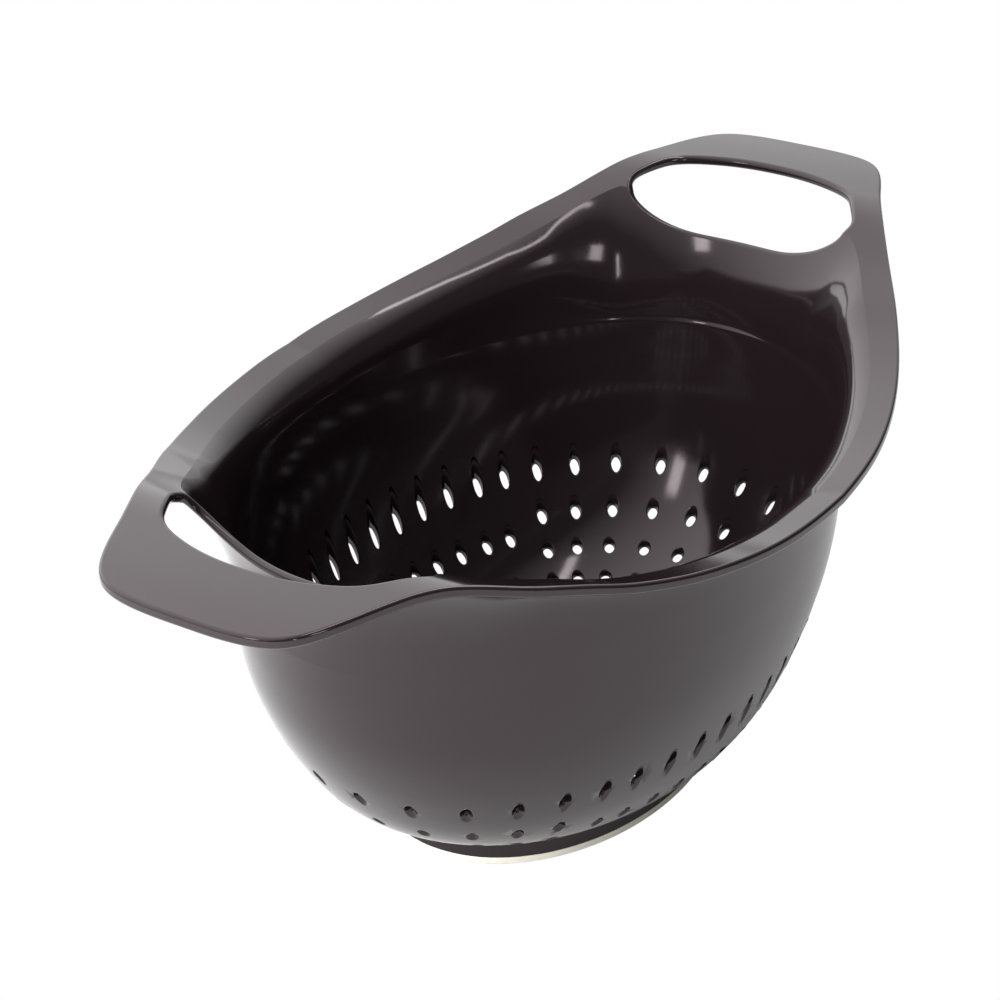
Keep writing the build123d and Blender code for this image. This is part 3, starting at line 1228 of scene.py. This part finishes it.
    def fit(self, block: np.ndarray, at: np.ndarray, moulding: Moulding) -> None:
        """Moves the ends of one bore onto its two mouths.

        Args:
            block: the bore's points, changed in place.
            at: the drain hole's place in the plan.
            moulding: the bowl with the mouths.
        """
        s = self.size
        rims = []
        for inset, wider in ((s.wall, s.hole_mouth), (0.0, s.hole_exit)):
            ring = moulding.ring(at, s.hole_radius + wider)
            rims.append(np.column_stack([ring, moulding.form.low(ring[:, 0], ring[:, 1], inset)]))
        for rim in rims:
            gap = np.linalg.norm(block[:, None] - rim[None], axis=2)
            near = gap.min(1) < self.snap
            block[near] = rim[gap.argmin(1)[near]]

    def add_to(self, shell: Shell, moulding: Moulding) -> None:
        """Joins the bores to the shell, facing into the holes.

        Args:
            shell: where the bores go.
            moulding: the bowl that they belong to.
        """
        holes = moulding.holes
        points, normals, faces = self.evaluated(self.points(moulding.form, holes))
        per = self.rows * self.steps.hole_sides
        for first in range(0, len(points), per):
            block, facing = points[first:first + per], normals[first:first + per]
            at = holes[np.argmin(np.linalg.norm(holes - block[:, :2].mean(0), axis=1))]
            self.fit(block, at, moulding)
            radial = block[:, :2] - at
            radial /= np.linalg.norm(radial, axis=1)[:, None] + 1e-9
            if np.sum(facing[:, :2] * radial) > 0:
                facing *= -1
        corners = np.array([i for face in faces for i in face])
        shell.patch(points, faces, normals[corners])
        log.info("drain bores: %d", len(points) // per)


@dataclass
class SoftRing(Piece):
    """The cream ring pressed onto the foot skirt; sizes in millimetres."""
    size: BowlSizes
    steps: MeshSteps
    width: float = 4.0
    corner_round: float = 0.55
    corner_points: int = 6

    name = "colander_ring"
    node = "non_slip_ring"
    slot = "ring"
    finish = Finish.RING

    def section(self) -> list[tuple[float, ...]]:
        """Rounded section of the ring.

        Returns:
            For each point, how far out and how high it is, then its normal.
        """
        r, tall = self.corner_round, self.size.ring_height
        points = []
        for out, up, end in ((-r, tall - r, 0), (-r, r, -90),
                             (r - self.width, r, 180), (r - self.width, tall - r, 90)):
            turns = np.radians(np.linspace(end + 90, end, self.corner_points))
            points += [(out + r * math.cos(a), up + r * math.sin(a), math.cos(a), math.sin(a)) for a in turns]
        return points + points[:1]

    def build(self) -> bpy.types.Object:
        """Sweeps the section round the oval foot.

        Returns:
            The finished object.
        """
        s = self.size
        t = np.linspace(0, 2 * math.pi, self.steps.columns, endpoint=False)
        base = np.column_stack([s.foot_half_length * np.cos(t), s.foot_half_breadth * np.sin(t)])
        out = unit(np.column_stack([s.foot_half_breadth * np.cos(t), s.foot_half_length * np.sin(t)]))
        section = self.section()
        rows = [np.column_stack([base + out * dx, np.full(len(t), z)]) for dx, z, _, _ in section]
        normals = [np.column_stack([out * nx, np.full(len(t), nz)]) for _, _, nx, nz in section]
        shell = Shell()
        shell.grid(rows, normals)
        return shell.mesh(self.name)


@dataclass(frozen=True)
class Softbox:
    """An area light; places and sizes in metres, power in watts, spin in degrees."""
    name: str
    place: tuple[float, float, float]
    target: tuple[float, float, float]
    width: float
    height: float
    power: float
    spin: float = 0.0
    glossy: bool = True

    def build(self) -> None:
        """Adds the light, facing its target and turned about its own axis."""
        data = bpy.data.lights.new(self.name, "AREA")
        data.shape = "RECTANGLE"
        data.size, data.size_y, data.energy = self.width, self.height, self.power
        obj = bpy.data.objects.new(self.name, data)
        obj.location = self.place
        obj.visible_glossy = self.glossy
        way = Vector(self.target) - Vector(self.place)
        facing = way.to_track_quat("-Z", "Y").to_matrix()
        obj.rotation_euler = (facing @ Matrix.Rotation(math.radians(self.spin), 3, "Z")).to_euler()
        bpy.context.scene.collection.objects.link(obj)


LIGHTS = (
    Softbox("floor_wash", (-0.95, 0.14, 0.56), (-0.25, -0.05, 0.0), 0.7, 0.45, 25.0, glossy=False),
    Softbox("left_patch", (-1.05, 0.13, 0.58), (0, 0, 0.12), 0.16, 0.22, 1.0),
    Softbox("overhead_strip", (0.32, -0.22, 1.4), (0.32, -0.22, 0.0), 1.45, 0.10, 4.0, 33.0),
    Softbox("window", (-0.4, -1.1, 0.6), (0, 0, 0.1), 0.2, 0.3, 1.3),
    Softbox("window_strip", (-0.95, -1.05, 0.42), (0, 0, 0.08), 0.05, 0.45, 0.9),
)


class Studio:
    """Camera, lights, floor and white surroundings."""

    # The camera's place in millimetres, its right, down and forward directions, and its focal
    # length as a share of the picture's width, all fitted to the photograph
    eye = (-554.144, -326.749, 463.97)
    directions = ((0.522008, -0.852842, -0.012994), (-0.433644, -0.252245, -0.865058),
                  (0.73448, 0.457202, -0.501503))
    focal_share = 2.368874
    sensor = 36.0
    nearest = 0.01
    floor_reach = 3.0
    floor_grey = (0.52, 0.52, 0.52, 1.0)
    white = (1.0, 1.0, 1.0, 1.0)
    # The surroundings grow brighter towards one side: level, swing and least brightness
    bright_side = (0.0, 0.8, 0.6)
    level = 0.35
    swing = 2.6
    least = 0.12

    def build(self) -> None:
        """Adds everything round the object."""
        self.camera()
        self.floor()
        self.world()
        for light in LIGHTS:
            light.build()

    def camera(self) -> None:
        """Sets the camera at the photograph's viewpoint."""
        data = bpy.data.cameras.new("camera")
        data.sensor_width = self.sensor
        data.lens = self.focal_share * self.sensor
        data.clip_start = self.nearest
        obj = bpy.data.objects.new("camera", data)
        right, down, ahead = (Vector(d) for d in self.directions)
        turn = Matrix((right, -down, -ahead)).transposed()
        obj.matrix_world = Matrix.Translation(Vector(self.eye) * MM) @ turn.to_4x4()
        bpy.context.scene.collection.objects.link(obj)
        bpy.context.scene.camera = obj

    def floor(self) -> None:
        """Adds the floor, grey in reflections and white to the camera."""
        r = self.floor_reach
        data = bpy.data.meshes.new("floor")
        data.from_pydata([(-r, -r, 0), (r, -r, 0), (r, r, 0), (-r, r, 0)], [], [(0, 1, 2, 3)])
        obj = bpy.data.objects.new("floor", data)
        bpy.context.scene.collection.objects.link(obj)
        mat = bpy.data.materials.new(Finish.FLOOR.value)
        mat.use_nodes = True
        tree = mat.node_tree
        tree.nodes.clear()
        g = Graph(tree)
        seen = g.add("ShaderNodeLightPath", out="Is Camera Ray")
        plain = g.add("ShaderNodeBsdfDiffuse", {}, {"Color": self.floor_grey})
        white = g.add("ShaderNodeEmission", {}, {"Color": self.white, "Strength": 1.0})
        mixed = g.add("ShaderNodeMixShader", {}, {0: seen, 1: plain, 2: white})
        g.link(mixed, tree.nodes.new("ShaderNodeOutputMaterial"), "Surface")
        data.materials.append(mat)

    def world(self) -> None:
        """Sets the surroundings, brighter on one side and plain white to the camera."""
        world = bpy.data.worlds.new("surroundings")
        bpy.context.scene.world = world
        world.use_nodes = True
        tree = world.node_tree
        tree.nodes.clear()
        g = Graph(tree)
        seen = g.add("ShaderNodeLightPath", out="Is Camera Ray")
        way = g.add("ShaderNodeTexCoord", out="Generated")
        lit = g.add("ShaderNodeVectorMath", {"operation": "DOT_PRODUCT"},
                    {0: way, 1: self.bright_side}, "Value")
        strength = g.math("MAXIMUM", self.level + self.swing * lit, self.least)
        dim = g.add("ShaderNodeBackground", {}, {"Color": self.white, "Strength": strength})
        white = g.add("ShaderNodeBackground", {}, {"Color": self.white, "Strength": 1.0})
        mixed = g.add("ShaderNodeMixShader", {}, {0: seen, 1: dim, 2: white})
        g.link(mixed, tree.nodes.new("ShaderNodeOutputWorld"), "Surface")


def main() -> None:
    """Builds the visual model and its studio."""
    size, steps = BowlSizes(), MeshSteps()
    materials = {finish: look.material(finish.value) for finish, look in FINISHES.items()}
    bowl, ring = Moulding(Form(size), steps), SoftRing(size, steps)
    bowl.dress(bowl.build(Bores(size, steps, materials[bowl.finish])), materials[bowl.finish])
    ring.dress(ring.build(), materials[ring.finish])
    Studio().build()
    bpy.context.scene.view_settings.view_transform = "Standard"


if __name__ == "__main__":
    main()
